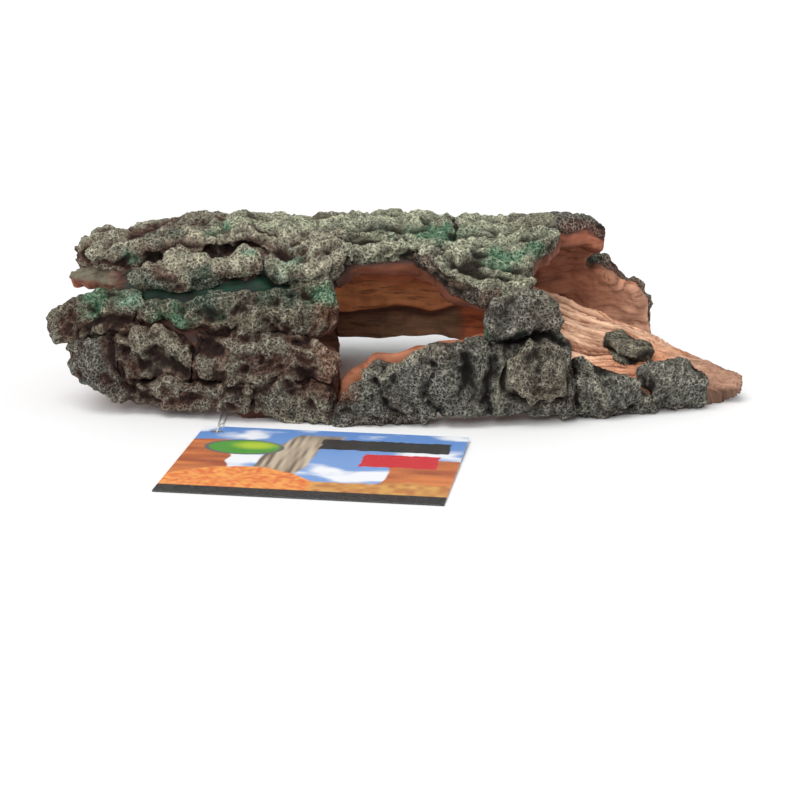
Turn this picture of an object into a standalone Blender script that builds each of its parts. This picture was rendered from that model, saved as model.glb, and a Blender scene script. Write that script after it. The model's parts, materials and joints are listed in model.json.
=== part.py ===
"""Resin cave ornament: a hollow half log that fish swim through.

The log lies along X with its open window facing -Y and rests on z = 0. It is cast as slabs: a shell
of bare "wood" slabs, with rough "bark" slabs on its outside and a long heartwood ramp that runs down
to a point at +X. A paper swing tag lies in front of it on a loop of thread.

Every slab is an outline drawn on the log's unrolled skin, as (x in mm, angle in degrees), which is
bent onto the skin and thickened. The angle runs round the log: -21 is the front foot, 0 the front
waist, 90 the crown, 180 the rear waist and 201 the rear foot.
"""
import math

import bmesh
import bpy
import numpy as np
from mathutils import Vector

MM = 0.001

# ---- the log, in mm -------------------------------------------------------------------------
# station x, front waist y, rear waist y, crown height: 240 long with the ramp, about 100 deep
LOG_STATIONS = [
    (-122, -20, 27, 46), (-110, -27, 34, 50), (-90, -34, 41, 55), (-60, -41, 46, 58),
    (-20, -47, 49, 57), (20, -48, 50, 57), (55, -44, 50, 56), (75, -38, 47, 53), (97, -30, 42, 43),
]
WAIST = 0.30            # height of the widest line, as a share of the crown height
SQUARENESS = 2.4        # exponent of the cross-section: 2 is an ellipse, more is boxier

# The ramp's stations: x, then (y, z) of its foot, waist, front edge, mid and ridge lines
RAMP_STATIONS = [
    (40, -38, 0, -44, 12, -36, 25, -14, 32, 10, 37), (55, -36, 0, -41, 12, -33, 23, -12, 29, 10, 33),
    (70, -33, 0, -38, 10, -31, 19, -10, 24, 10, 27), (88, -27, 0, -32, 8, -26, 14, -8, 17, 9, 18),
    (105, -22, 0, -26, 7, -22, 11, -10, 13, 4, 12), (120, -17, 2, -18, 5, -17, 8, -12, 9, -6, 8),
]
RAMP_LINES = [0, 25, 50, 75, 100]       # where those five lines lie across the ramp, in percent

# ---- how the casting is layered, in mm off the skin ------------------------------------------
WOOD_INSIDE, WOOD_OUTSIDE = -8.0, -3.4
BARK_INSIDE, BARK_OUTSIDE = -3.0, 1.2
GRID_X, GRID_ANGLE = 8.0, 10.0          # spacing of a slab's faces along and round the log
MM_PER_DEGREE = 0.8                     # unrolled length of one degree of skin
BELOW_FLOOR = -25                       # an outline that goes down to here stands on the floor
LOG_PLACE = (0.4, -0.3)                 # puts the middle of the casting over the origin, in mm

# ---- swing tag, in mm ------------------------------------------------------------------------
TAG_LENGTH, TAG_WIDTH, TAG_THICKNESS, TAG_CORNER = 88.0, 64.0, 0.5, 2.0
TAG_HOLE = (-60.0, -58.0)               # where the hole lies in front of the log
TAG_HOLE_INSET = (5.3, 4.8)             # from the tag's left and upper edges
TAG_HOLE_RADIUS = 2.2
TAG_TURN = math.radians(-8.6)           # as it lies on the floor
TAG_TILT = math.radians(0.9)            # its upper edge rests on the thread
THREAD_DIAMETER = 0.45
THREAD_ROUTE = [
    (-61.3, -29.9, 4.6), (-61.2, -30.3, 2.9), (-61.0, -32.6, 1.3), (-60.9, -35.8, 0.5),
    (-60.8, -40, 0.3), (-60.7, -45, 0.3), (-60.6, -50, 0.3), (-60.5, -54.5, 0.3),
    (-60.3, -57.2, 0.42), (-60.05, -58.4, 1.15), (-59.7, -57.6, 2.0), (-59.4, -55.4, 2.3),
    (-59.3, -52.8, 2.15), (-59.2, -50, 1.35), (-59.1, -46.5, 0.55), (-59.0, -42, 0.3),
    (-59.0, -38, 0.35), (-58.9, -34.5, 0.8), (-58.8, -31.4, 1.9), (-58.7, -30.3, 3.2),
    (-58.7, -29.9, 4.6),
]

# ---- outlines: bare wood shell (x, degrees) ---------------------------------------------------
WOOD_FRONT_LEFT = [     # front flank with both broken snags at the left mouth
    (-22.5, BELOW_FLOOR), (-22.5, 0), (-21.6, 4), (-22, 9), (-25, 13.5), (-22.3, 20), (-22.5, 42),
    (-22.5, 88.4), (-105, 88.4), (-110, 77), (-116.5, 69), (-115.5, 61), (-110.5, 53), (-104, 48),
    (-98, 43), (-96, 38), (-100, 35), (-112, 33), (-117, 30), (-116.5, 22), (-113, 12),
    (-109, 8), (-108, -2), (-102, -8), (-98, -12), (-92, -15.5), (-75, -18), (-56, -19.3),
    (-50, BELOW_FLOOR),
]
WOOD_ROOF = [           # over the front window
    (-21.7, 49), (-18, 57), (-10, 60.5), (3.5, 62.5), (10, 56), (18, 43), (30, 31), (36, 35.5),
    (43, 40), (43.5, 59), (52, 72), (54, 82), (56, 92), (56, 108.2), (-21.7, 108.2),
]
WOOD_REAR_LEFT = [
    (-105, 90), (-24.9, 90), (-24.9, 204), (-105, 204), (-110, 186), (-114, 172), (-113, 158),
    (-109, 140), (-107, 115),
]
WOOD_REAR_MIDDLE = [    # carries the low rear arch
    (-24.3, 110), (42.3, 110), (42.3, 204), (26, 204), (25, 197), (22, 192), (16, 190),
    (0, 189), (-10, 191.5), (-24.3, 190.5),
]
WOOD_REAR_RIGHT = [     # steps down in broken ledges behind the ramp
    (42.9, 110), (56.7, 110), (56.7, 98), (73, 101), (72, 125), (70.5, 146), (77, 144), (82, 147),
    (85, 157), (88, 155), (92, 158), (93.5, 171), (96, 179), (96.5, 204), (42.9, 204),
]
WOOD_SILL = [           # low rail under the window; its right end is raised off the floor
    (-21.7, BELOW_FLOOR), (6, BELOW_FLOOR), (9, -18), (14, -14.5), (30.4, -14.5), (30.4, 17.5),
    (21, 13), (13, 11), (5, 9), (0, 7.5), (-8, 6.5), (-13, 4), (-17, 1), (-21.7, -2),
]
WOOD_FRONT_RIGHT = [
    (31, -14.5), (50, -16), (57.4, -19), (57.4, 11.5), (51, 16), (49, 29), (44, 34), (36, 33.5),
    (31, 29),
]
HEARTWOOD_RAMP = [      # (x, percent across the ramp)
    (43.5, 54), (50, 54), (58, 48), (58, -6), (80, -6), (84, 4), (97, 4), (101, -6), (112, -6),
    (118, 12), (119.5, 40), (119, 75), (114, 100), (43.5, 100),
]

# ---- outlines: bark, as (name, colour, outline, extra thickness) ------------------------------
GREY, DARK, OLIVE, MOSS = "grey", "dark", "olive", "moss"
BARK_FRONT = [
    ("bark_crown_left", OLIVE, [(-104, 80), (-92, 78.5), (-61.5, 77.5), (-61.5, 111), (-100, 111),
                                (-107, 95)], 1.2),
    ("bark_ledge_upper", GREY, [(-112, 74), (-106, 66), (-102, 60), (-92, 56), (-82, 56), (-72, 58),
                                (-62.2, 61), (-62.2, 76.2), (-92, 77), (-104, 78.5)], 2.4),
    ("bark_ledge_lower", MOSS, [(-88, 38), (-80, 38), (-70, 40), (-55, 44), (-46, 46), (-46, 58),
                                (-55, 56.5), (-62, 52), (-68, 52), (-74, 55), (-78, 51), (-88, 44)], 2.0),
    ("bark_window_corner", GREY, [(-61.3, 61), (-52, 62), (-45.3, 59), (-45.3, 47), (-35, 46.5),
                                  (-24, 48.5), (-20, 57), (-20, 76), (-61.3, 76)], 1.6),
    ("bark_crown_middle", GREY, [(-60.8, 77.3), (-20, 77.3), (-20, 111), (-60.8, 111)], 0.8),
    ("bark_roof_front", GREY, [(-19.3, 59.5), (-10, 61.5), (3.5, 64), (7, 62.5), (18.5, 74),
                               (18.5, 111), (-19.3, 111)], 1.0),
    ("bark_crown_right", MOSS, [(8.3, 62.7), (20, 50), (30, 39), (38, 38.5), (42, 42), (43, 58),
                                (51.5, 70), (54, 82), (54, 108), (21, 108), (20.5, 74)], 0.6),
    ("bark_window_edge", DARK, [(4.5, 62), (10.3, 55.5), (18.3, 43.5), (28.5, 33.5), (35, 36.8),
                                (29.5, 37.6), (19.3, 49), (8, 61.7)], -1.2),
    ("bark_wall_left", OLIVE, [(-87.3, 27), (-72, 27), (-62, 33), (-50, 32), (-40, 36), (-30, 41),
                               (-23, 43), (-23, 17), (-26, 15.5), (-60, 15.5), (-66, 17.5),
                               (-80, 17.5), (-87.3, 16.5)], 0.4),
    ("bark_roll_left", MOSS, [(-118.5, 30), (-118, 20), (-115, 13), (-110, 10), (-100, 11),
                              (-88, 14.5), (-88, 31), (-100, 34), (-112, 33)], 1.4),
    ("bark_lobe_left", DARK, [(-110, 8.5), (-110, 0), (-106, -5), (-100, -9.5), (-94, -4),
                              (-92.6, 4), (-93, 11), (-100, 9.8)], 1.8),
    ("bark_plate_left", GREY, [(-92.2, 11.3), (-91.8, 4), (-93, -3), (-80, -3.5), (-70, -2.5),
                               (-69, 8), (-72, 13), (-80, 15), (-87, 13.5)], 1.0),
    ("bark_plate_window", GREY, [(-68.3, 8), (-69.3, -2.5), (-50, -3.5), (-40, -4), (-23, -2.5),
                                 (-22.4, 5), (-25.5, 12), (-40, 14.5), (-60, 14), (-66, 15)], 0.8),
    ("bark_plate_foot_left", GREY, [(-99, -11), (-93.5, -4), (-80, -4.6), (-70, -3.6), (-49, -4.6),
                                    (-49, -15), (-60, -16), (-75, -15.5), (-88, -14.5),
                                    (-94, -13.5)], 1.2),
    ("bark_foot_middle", GREY, [(-48.3, -4.6), (-40, -5.1), (-23, -3.8), (-23, BELOW_FLOOR),
                                (-36, BELOW_FLOOR), (-41, -17), (-48.3, -15.5)], 0.8),
    ("bark_sill", DARK, [(-21, -15), (-19, -5), (-12, 2), (-7, 4.5), (0, 4.5), (5, 7), (20, 10),
                         (29.8, 15), (29.8, -13.5), (12, -13), (6, -16), (1, BELOW_FLOOR),
                         (-20, BELOW_FLOOR)], 1.0),
    ("bark_boulder", DARK, [(30.3, 16.3), (30.3, 30), (36, 34.5), (44, 35), (50, 29.5), (51.8, 17),
                            (42, 14.5), (34, 14.5)], 3.0),
    ("bark_front_middle", DARK, [(30.4, -13.5), (50, -15), (57, -18), (57, 11), (51, 15.5),
                                 (42, 13.4), (34, 13.4), (30.4, 15)], 0.2),
]
BARK_TONGUE = [(37, -5), (36, 3), (40, 10.5), (47, 12), (53, 8), (55.5, 0), (53, -4), (44, -6.5)]
BARK_REAR = [
    ("bark_rear_left_upper", GREY, [(-106, 112), (-25, 112), (-25, 150), (-108, 150)], 0.4),
    ("bark_rear_left_lower", OLIVE, [(-110, 151.5), (-25, 151.5), (-25, 187), (-107, 187)], 0.8),
    ("bark_rear_middle_upper", GREY, [(-24.2, 112), (42.2, 112), (42.2, 150), (-24.2, 150)], 0.6),
    ("bark_rear_middle_lower", DARK, [(-24.2, 151.5), (42.2, 151.5), (42.2, 188), (28, 193),
                                      (22, 189), (16, 187), (0, 186), (-10, 188.5),
                                      (-24.2, 187.5)], 0.6),
    ("bark_rear_right_upper", DARK, [(43.2, 112), (58, 112), (58, 99), (72.3, 102.5), (71, 125),
                                     (69.5, 148.5), (43.2, 148.5)], 0.6),
    ("bark_rear_right_lower", OLIVE, [(43.2, 150), (72.5, 150), (77, 147), (81, 150), (84, 159.5),
                                      (88, 158), (91, 161), (92.5, 172), (94.5, 179), (94.5, 190),
                                      (43.2, 190)], 0.6),
]
BARK_RAMP = [           # (x, percent across the ramp)
    ("bark_front_right", DARK, [(58, -6), (58, 45), (66, 45), (72, 40), (79, 30), (85, 16),
                                (84, 8), (76, -6)], 1.0),
    ("bark_low_right", DARK, [(80.5, 33.5), (86.5, 19), (86, 6), (96, 6), (102, -2), (104.5, 15),
                              (104, 42), (99, 54), (92, 51), (84, 47), (79.5, 42)], 0.8),
    ("bark_patch_ramp", OLIVE, [(70.5, 60), (73, 52), (80, 51), (85.5, 57), (83, 69), (76, 74),
                                (71, 71)], 1.2),
]

# ---- colours: base colour and roughness -------------------------------------------------------
FINISHES = {
    "shell": ((0.30, 0.13, 0.07), 0.75), "heartwood": ((0.58, 0.31, 0.20), 0.7),
    GREY: ((0.33, 0.31, 0.25), 0.85), DARK: ((0.13, 0.14, 0.12), 0.85),
    OLIVE: ((0.22, 0.21, 0.15), 0.85), MOSS: ((0.14, 0.25, 0.17), 0.85),
    "card": ((0.62, 0.74, 0.82), 0.45), "thread": ((0.85, 0.84, 0.82), 0.6),
    "glue": ((0.75, 0.68, 0.5), 0.3),
}


def clear_scene():
    for obj in list(bpy.data.objects):
        bpy.data.objects.remove(obj, do_unlink=True)


def new_collection(name):
    coll = bpy.data.collections.new(name)
    bpy.context.scene.collection.children.link(coll)
    return coll


def material(node, finish):
    """A Principled material of the sub-part's own."""
    colour, roughness = FINISHES[finish]
    mat = bpy.data.materials.new(node)
    mat.use_nodes = True
    shader = mat.node_tree.nodes["Principled BSDF"]
    shader.inputs["Base Color"].default_value = (*colour, 1)
    shader.inputs["Roughness"].default_value = roughness
    shader.inputs["Metallic"].default_value = 0
    return mat


def smooth_row(keys, rows, key):
    """Reads rows of numbers between their keys on one smooth curve, straight beyond the ends."""
    i = int(np.clip(np.searchsorted(keys, key) - 1, 0, len(keys) - 2))
    span = keys[i + 1] - keys[i]
    t = (key - keys[i]) / span

    def slope(k):
        a, b = max(k - 1, 0), min(k + 1, len(keys) - 1)
        return (rows[b] - rows[a]) / (keys[b] - keys[a]) * span

    if t < 0:
        return rows[i] + t * slope(i)
    if t > 1:
        return rows[i + 1] + (t - 1) * slope(i + 1)
    return ((2 * t**3 - 3 * t**2 + 1) * rows[i] + (t**3 - 2 * t**2 + t) * slope(i)
            + (3 * t**2 - 2 * t**3) * rows[i + 1] + (t**3 - t**2) * slope(i + 1))


def station_row(stations, x):
    table = np.array(stations, dtype=float)
    return smooth_row(table[:, 0], table[:, 1:], x)


def log_skin(x, angle):
    """A point of the log's skin: a boxy ellipse about the waist line."""
    front, rear, crown = station_row(LOG_STATIONS, x)
    c, s = math.cos(math.radians(angle)), math.sin(math.radians(angle))
    across = math.copysign(abs(c) ** (2 / SQUARENESS), c)
    up = math.copysign(abs(s) ** (2 / SQUARENESS), s)
    return np.array([x, (front + rear) / 2 - (rear - front) / 2 * across,
                     crown * (WAIST + (1 - WAIST) * up)])


def ramp_skin(x, percent):
    """A point of the ramp's skin, on a smooth curve across its five lines."""
    lines = station_row(RAMP_STATIONS, x).reshape(-1, 2)
    y, z = smooth_row(np.array(RAMP_LINES, dtype=float), lines, percent)
    return np.array([x, y, z])


def off_skin(skin, x, across, distance):
    """The point at a distance outward from the skin, in mm."""
    step = 0.5
    along = skin(x + step, across) - skin(x - step, across)
    up = skin(x, across + step) - skin(x, across - step)
    normal = np.cross(along, up)
    return skin(x, across) + distance * normal / np.linalg.norm(normal)


def grid_cut(bm, values, axis, spacing):
    """Cuts a flat sheet along every grid line that crosses it."""
    low, high = math.floor(min(values) / spacing) + 1, math.ceil(max(values) / spacing)
    for k in range(low, high):
        point, normal = Vector((0, 0, 0)), Vector((0, 0, 0))
        point[axis], normal[axis] = k * spacing, 1
        bmesh.ops.bisect_plane(bm, geom=bm.verts[:] + bm.edges[:] + bm.faces[:], dist=1e-4,
                               plane_co=point, plane_no=normal)


def slab(node, finish, outline, inside, outside, coll, skin=log_skin, from_outside=False):
    """Bends an outline onto the skin and thickens it from `inside` to `outside` mm off the skin."""
    scale = MM_PER_DEGREE
    bm = bmesh.new()
    face = bm.faces.new([bm.verts.new((x, a * scale, 0)) for x, a in outline])
    face.normal_update()
    if face.normal.z < 0:
        face.normal_flip()
    grid_cut(bm, [x for x, _ in outline], 0, GRID_X)
    grid_cut(bm, [a * scale for _, a in outline], 1, GRID_ANGLE * scale)
    bmesh.ops.triangulate(bm, faces=[f for f in bm.faces if len(f.verts) > 4])

    offset = outside if from_outside else inside
    for vert in bm.verts:
        vert.co = Vector(off_skin(skin, vert.co.x, vert.co.y / scale, offset)) * MM
    centre = sum((v.co for v in bm.verts), Vector()) / len(bm.verts)
    for vert in bm.verts:
        vert.co -= centre
    mesh = bpy.data.meshes.new(node)
    bm.normal_update()
    bm.to_mesh(mesh)
    bm.free()
    mesh.materials.append(material(node, finish))

    obj = bpy.data.objects.new(node, mesh)
    coll.objects.link(obj)
    obj.location = centre
    solidify = obj.modifiers.new("thickness", "SOLIDIFY")
    solidify.thickness = (outside - inside) * MM
    solidify.offset = -1 if from_outside else 1
    solidify.use_even_offset = True
    solidify.use_quality_normals = True
    return obj


def trim_at_floor(obj, floor):
    cut = obj.modifiers.new("flat foot", "BOOLEAN")
    cut.operation = "DIFFERENCE"
    cut.object = floor


def floor_block(coll):
    bpy.ops.mesh.primitive_cube_add(size=1)
    block = bpy.context.object
    block.name = "floor_block"
    for vert in block.data.vertices:
        vert.co = Vector((vert.co.x * 0.4, vert.co.y * 0.3, (vert.co.z - 0.5) * 0.03))
    for owner in list(block.users_collection):
        owner.objects.unlink(block)
    coll.objects.link(block)
    block.hide_render = True
    block.display_type = "WIRE"
    return block


def wood_shell(coll, floor):
    outlines = {
        "wood_front_left": WOOD_FRONT_LEFT, "wood_roof": WOOD_ROOF, "wood_sill": WOOD_SILL,
        "wood_front_right": WOOD_FRONT_RIGHT, "wood_rear_left": WOOD_REAR_LEFT,
        "wood_rear_middle": WOOD_REAR_MIDDLE, "wood_rear_right": WOOD_REAR_RIGHT,
    }
    pieces = []
    for node, outline in outlines.items():
        obj = slab(node, "shell", outline, WOOD_INSIDE, WOOD_OUTSIDE, coll, from_outside=True)
        if min(a for _, a in outline) <= BELOW_FLOOR or max(a for _, a in outline) > 203:
            trim_at_floor(obj, floor)
        pieces.append(obj)
    ramp = slab("heartwood_ramp", "heartwood", HEARTWOOD_RAMP, -4.4, -1.2, coll, ramp_skin, True)
    trim_at_floor(ramp, floor)
    return pieces + [ramp]


def bark(coll, floor):
    pieces = []
    for node, finish, outline, extra in BARK_FRONT + BARK_REAR:
        obj = slab(node, finish, outline, BARK_INSIDE, BARK_OUTSIDE + extra, coll)
        if min(a for _, a in outline) <= BELOW_FLOOR:
            trim_at_floor(obj, floor)
        pieces.append(obj)
    pieces.append(slab("bark_tongue", GREY, BARK_TONGUE, BARK_OUTSIDE + 0.8, BARK_OUTSIDE + 3.6, coll))
    for node, finish, outline, extra in BARK_RAMP:
        obj = slab(node, finish, outline, -0.8, 1.4 + extra, coll, ramp_skin)
        if min(p for _, p in outline) < 0:
            trim_at_floor(obj, floor)
        pieces.append(obj)
    return pieces


def circle_points(radius, count, centre=(0, 0)):
    return [(centre[0] + radius * math.cos(2 * math.pi * k / count),
             centre[1] + radius * math.sin(2 * math.pi * k / count)) for k in range(count)]


def rounded_rectangle(left, right, bottom, top, radius, count=5):
    points = []
    for cx, cy, start in ((right - radius, top - radius, 0), (left + radius, top - radius, 90),
                          (left + radius, bottom + radius, 180), (right - radius, bottom + radius, 270)):
        for k in range(count):
            angle = math.radians(start + 90 * k / (count - 1))
            points.append((cx + radius * math.cos(angle), cy + radius * math.sin(angle)))
    return points


def add_spline(curve, points, closed):
    spline = curve.splines.new("POLY")
    spline.points.add(len(points) - 1)
    for target, p in zip(spline.points, points):
        target.co = (p[0] * MM, p[1] * MM, (p[2] if len(p) > 2 else 0) * MM, 1)
    spline.use_cyclic_u = closed


def tag_card(coll):
    """The card, with its hole on the swivel's vertical axis. Its far edge touches the floor."""
    curve = bpy.data.curves.new("tag_card", "CURVE")
    curve.dimensions = "2D"
    curve.fill_mode = "BOTH"
    curve.extrude = TAG_THICKNESS / 2 * MM
    left, top = -TAG_HOLE_INSET[0], TAG_HOLE_INSET[1]
    bottom = top - TAG_WIDTH
    add_spline(curve, rounded_rectangle(left, left + TAG_LENGTH, bottom, top, TAG_CORNER), True)
    add_spline(curve, circle_points(TAG_HOLE_RADIUS, 20), True)
    curve.materials.append(material("tag_card", "card"))
    card = bpy.data.objects.new("tag_card", curve)
    coll.objects.link(card)

    pivot = bpy.data.objects.new("tag_pivot", None)
    coll.objects.link(pivot)
    pivot.location = (TAG_HOLE[0] * MM, TAG_HOLE[1] * MM, 0)
    pivot.rotation_euler = (0, 0, TAG_TURN)
    card.parent = pivot
    card.rotation_euler = (TAG_TILT, 0, 0)
    half = TAG_THICKNESS / 2
    card.location = (0, 0, (half * math.cos(TAG_TILT) - bottom * math.sin(TAG_TILT)) * MM)
    return pivot


def tag_thread(coll):
    """One loop of thread: out under the raised rim, through the tag's hole and back."""
    route = np.array(THREAD_ROUTE, dtype=float)
    keys = np.arange(len(route), dtype=float)
    points = []
    for i in range(len(route) - 1):
        pieces = max(2, round(float(np.linalg.norm(route[i + 1] - route[i])) / 1.3))
        points += [smooth_row(keys, route, i + k / pieces) for k in range(pieces)]
    points.append(route[-1])
    curve = bpy.data.curves.new("tag_thread", "CURVE")
    curve.dimensions = "3D"
    curve.bevel_depth = THREAD_DIAMETER / 2 * MM
    curve.bevel_resolution = 2
    curve.use_fill_caps = True
    add_spline(curve, points, False)
    curve.materials.append(material("tag_thread", "thread"))
    obj = bpy.data.objects.new("tag_thread", curve)
    coll.objects.link(obj)
    return obj


def thread_anchor(coll):
    """A dab of glue on the inside of the front wall, holding both ends of the thread."""
    bpy.ops.mesh.primitive_uv_sphere_add(segments=16, ring_count=8, radius=1.0)
    dab = bpy.context.object
    dab.name = dab.data.name = "thread_anchor"
    for vert in dab.data.vertices:
        vert.co = Vector((vert.co.x * 3.2, vert.co.y * 1.3, vert.co.z * 2.0)) * MM
    dab.data.shade_smooth()
    dab.data.materials.append(material("thread_anchor", "glue"))
    for owner in list(dab.users_collection):
        owner.objects.unlink(dab)
    coll.objects.link(dab)
    dab.location = Vector((-60, -29.9, 6.9)) * MM
    return dab


def main():
    clear_scene()
    ornament = new_collection("resin_cave_ornament")
    cutters = new_collection("cutters")
    floor = floor_block(cutters)
    log = bpy.data.objects.new("log_origin", None)
    ornament.objects.link(log)
    log.location = (LOG_PLACE[0] * MM, LOG_PLACE[1] * MM, 0)
    pieces = wood_shell(ornament, floor) + bark(ornament, floor)
    pieces += [tag_card(ornament), tag_thread(ornament), thread_anchor(ornament)]
    for obj in pieces:
        obj.parent = log


main()
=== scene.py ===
"""Looks of the resin cave ornament: sculpted, dry-brushed bark and wood, and a printed tag."""
import json
import math

import bmesh
import bpy
import numpy as np
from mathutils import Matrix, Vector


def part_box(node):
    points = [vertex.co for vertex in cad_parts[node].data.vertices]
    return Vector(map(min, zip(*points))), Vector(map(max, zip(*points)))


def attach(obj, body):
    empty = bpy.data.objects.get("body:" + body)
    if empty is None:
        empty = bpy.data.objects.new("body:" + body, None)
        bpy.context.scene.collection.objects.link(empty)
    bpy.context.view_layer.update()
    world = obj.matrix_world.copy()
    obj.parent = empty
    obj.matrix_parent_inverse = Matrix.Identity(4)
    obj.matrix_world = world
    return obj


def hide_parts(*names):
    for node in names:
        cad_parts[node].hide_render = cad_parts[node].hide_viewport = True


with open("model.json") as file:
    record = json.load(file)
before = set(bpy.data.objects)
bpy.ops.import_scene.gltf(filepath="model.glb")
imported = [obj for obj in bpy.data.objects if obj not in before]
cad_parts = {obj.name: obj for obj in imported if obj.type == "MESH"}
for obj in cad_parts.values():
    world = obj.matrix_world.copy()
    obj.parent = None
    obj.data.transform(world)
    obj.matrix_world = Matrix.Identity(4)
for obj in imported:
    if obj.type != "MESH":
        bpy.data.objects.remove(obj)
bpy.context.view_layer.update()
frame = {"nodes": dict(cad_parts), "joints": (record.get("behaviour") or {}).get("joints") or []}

MM = 0.001
AXIS = (2.0, 17.0)              # y and z of the line that angles are measured round, in mm

# ---- camera -----------------------------------------------------------------------------------
CAMERA_ELEVATION = math.radians(16)
CAMERA_DISTANCE = 0.677
CAMERA_TARGET = (0.0004, -0.0003, -0.0047)
CAMERA_LENS, SENSOR_WIDTH = 85, 36      # in mm

# ---- cord: the tag's thread, in mm, on the log's own axes -------------------------------------
LOG_PLACE = (0.4, -0.3)         # the log's axes, from the frame's origin
THREAD_DIAMETER = 0.45
THREAD_STEP = 0.6               # between points of the smoothed curve
THREAD_ROUTE = [
    (-61.3, -29.9, 4.6), (-61.2, -30.3, 2.9), (-61.0, -32.6, 1.3), (-60.9, -35.8, 0.5),
    (-60.8, -40, 0.3), (-60.7, -45, 0.3), (-60.6, -50, 0.3), (-60.5, -54.5, 0.3),
    (-60.3, -57.2, 0.42), (-60.05, -58.4, 1.15), (-59.7, -57.6, 2.0), (-59.4, -55.4, 2.3),
    (-59.3, -52.8, 2.15), (-59.2, -50, 1.35), (-59.1, -46.5, 0.55), (-59.0, -42, 0.3),
    (-59.0, -38, 0.35), (-58.9, -34.5, 0.8), (-58.8, -31.4, 1.9), (-58.7, -30.3, 3.2),
    (-58.7, -29.9, 4.6),
]

# ---- sculpting, in mm -------------------------------------------------------------------------
BARK_VOXEL, WOOD_VOXEL, GLUE_VOXEL = 0.55, 0.7, 0.3
BARK_SWELL, WOOD_SWELL = 1.1, 0.45      # closes the CAD model's gaps between neighbours
WARP = ((17.0, 2.3), (6.5, 1.2))        # feature size and reach of the waver in every edge
MM_PER_DEGREE = 0.8
SQUARENESS, WAIST = 2.4, 0.30
# the log's outline: x, front y, rear y and crown z, in mm
LOG_STATIONS = np.array([
    (-122, -20, 27, 46), (-110, -27, 34, 50), (-90, -34, 41, 55), (-60, -41, 46, 58),
    (-20, -47, 49, 57), (20, -48, 50, 57), (55, -44, 50, 56), (75, -38, 47, 53), (97, -30, 42, 43),
], dtype=float)

# crevices between the bark's plates: width and depth in mm, then points of x mm and degrees round
CREVICES = [
    (2.6, 3.0, [(-106, 57), (-92, 54), (-80, 57), (-73, 63), (-66, 59), (-58, 57)]),
    (3.2, 3.4, [(-72, 63), (-67, 60)]),
    (2.0, 2.0, [(-57, 57), (-51, 64), (-44, 62), (-37, 54)]),
    (2.0, 2.2, [(-92, 79), (-80, 80), (-68, 77), (-62, 78)]),
    (2.4, 2.8, [(-21, 80), (-16, 78), (-11, 80)]),
    (1.8, 1.8, [(-108, 15), (-96, 18), (-84, 15), (-76, 17)]),
    (2.6, 3.0, [(-78, 17), (-72, 13), (-67, 11)]),
    (1.8, 2.0, [(-66, 15), (-60, 13), (-54, 15)]),
    (2.0, 2.4, [(-67, 12), (-68, 3), (-70, -2)]),
    (1.6, 1.8, [(-94, 10), (-95, 2), (-91, -4)]),
    (1.8, 1.8, [(-92, -4), (-82, -3), (-74, 0), (-66, -4), (-58, -2), (-50, -5)]),
    (1.8, 2.4, [(-49, 0), (-47.5, -8), (-48.5, -14)]),
    (1.4, 1.6, [(-46, -7), (-41, -3), (-36, 1), (-28, 0)]),
    (1.8, 2.0, [(-40, 15), (-34, 12), (-28, 13)]),
    (1.6, 1.6, [(-86, -9), (-76, -12), (-66, -10)]),
    (2.0, 2.8, [(19.2, 72), (19.6, 84), (19.4, 112)]),
    (1.6, 2.2, [(14, 60), (20, 55), (27, 48), (34, 43)]),
    (1.3, 1.8, [(24, 63), (31, 58), (38, 57)]),
    (1.2, 1.5, [(22, 58), (29, 53), (37, 49)]),
    (1.1, 0.8, [(-18, 66), (-8, 69), (2, 68)]),
    (1.8, 2.2, [(30, 16), (30.5, 6), (29, -4), (30, -14)]),
    (1.6, 1.8, [(31, 15), (40, 13.5), (50, 14), (57, 12)]),
    (1.6, 2.0, [(36, 6), (36, -3), (43, -7), (54, -5), (56, 2)]),
    (1.6, 1.8, [(58, 12), (58, 0), (60, -12)]),
    (1.8, 2.4, [(72, 8), (78, 2), (85, -6)]),
    (1.2, 1.1, [(12, 4), (9, -4), (12, -11)]),
    (1.2, 1.0, [(20, 7), (21, -2), (18, -9)]),
    (1.2, 1.1, [(-8, 0), (-4, -8), (2, -12)]),
    (1.8, 2.2, [(-104, 128), (-80, 124), (-50, 131), (-26, 127)]),
    (1.8, 2.2, [(-24, 135), (0, 128), (24, 134), (42, 130)]),
    (1.6, 2.0, [(-60, 112), (-56, 130), (-62, 150)]),
    (1.6, 2.0, [(-90, 168), (-60, 172), (-30, 166)]),
    (1.6, 2.0, [(10, 150), (8, 168), (14, 186)]),
    (1.8, 2.0, [(46, 128), (60, 124), (72, 130)]),
    (1.6, 1.8, [(44, 172), (66, 168), (90, 174)]),
]
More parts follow.
